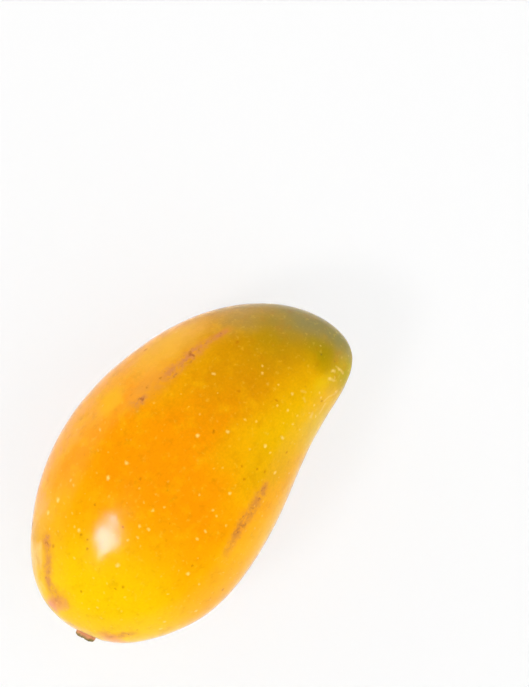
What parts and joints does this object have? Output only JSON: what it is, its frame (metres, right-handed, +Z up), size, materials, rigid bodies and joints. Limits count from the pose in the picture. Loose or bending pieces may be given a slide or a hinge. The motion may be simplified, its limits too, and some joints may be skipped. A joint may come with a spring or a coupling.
{
  "type": "mango",
  "caption": "Whole ripe mango, yellow and orange with an olive-green beak end, lying on its cheek with the stub of its stalk.",
  "frame": {"origin": "on the surface that the mango rests on, under the middle of the box around fruit and stub", "axes": "+X from the stalk end to the beak end, +Z up from the resting face, and the beak bends to -Y"},
  "size_m": [0.1204, 0.0712, 0.0599],
  "materials": {
    "skin": "satin",
    "stalk": "matte"
  },
  "bodies": {
    "root": {"fruit": "skin", "stem_stub": "stalk"}
  },
  "joints": []
}
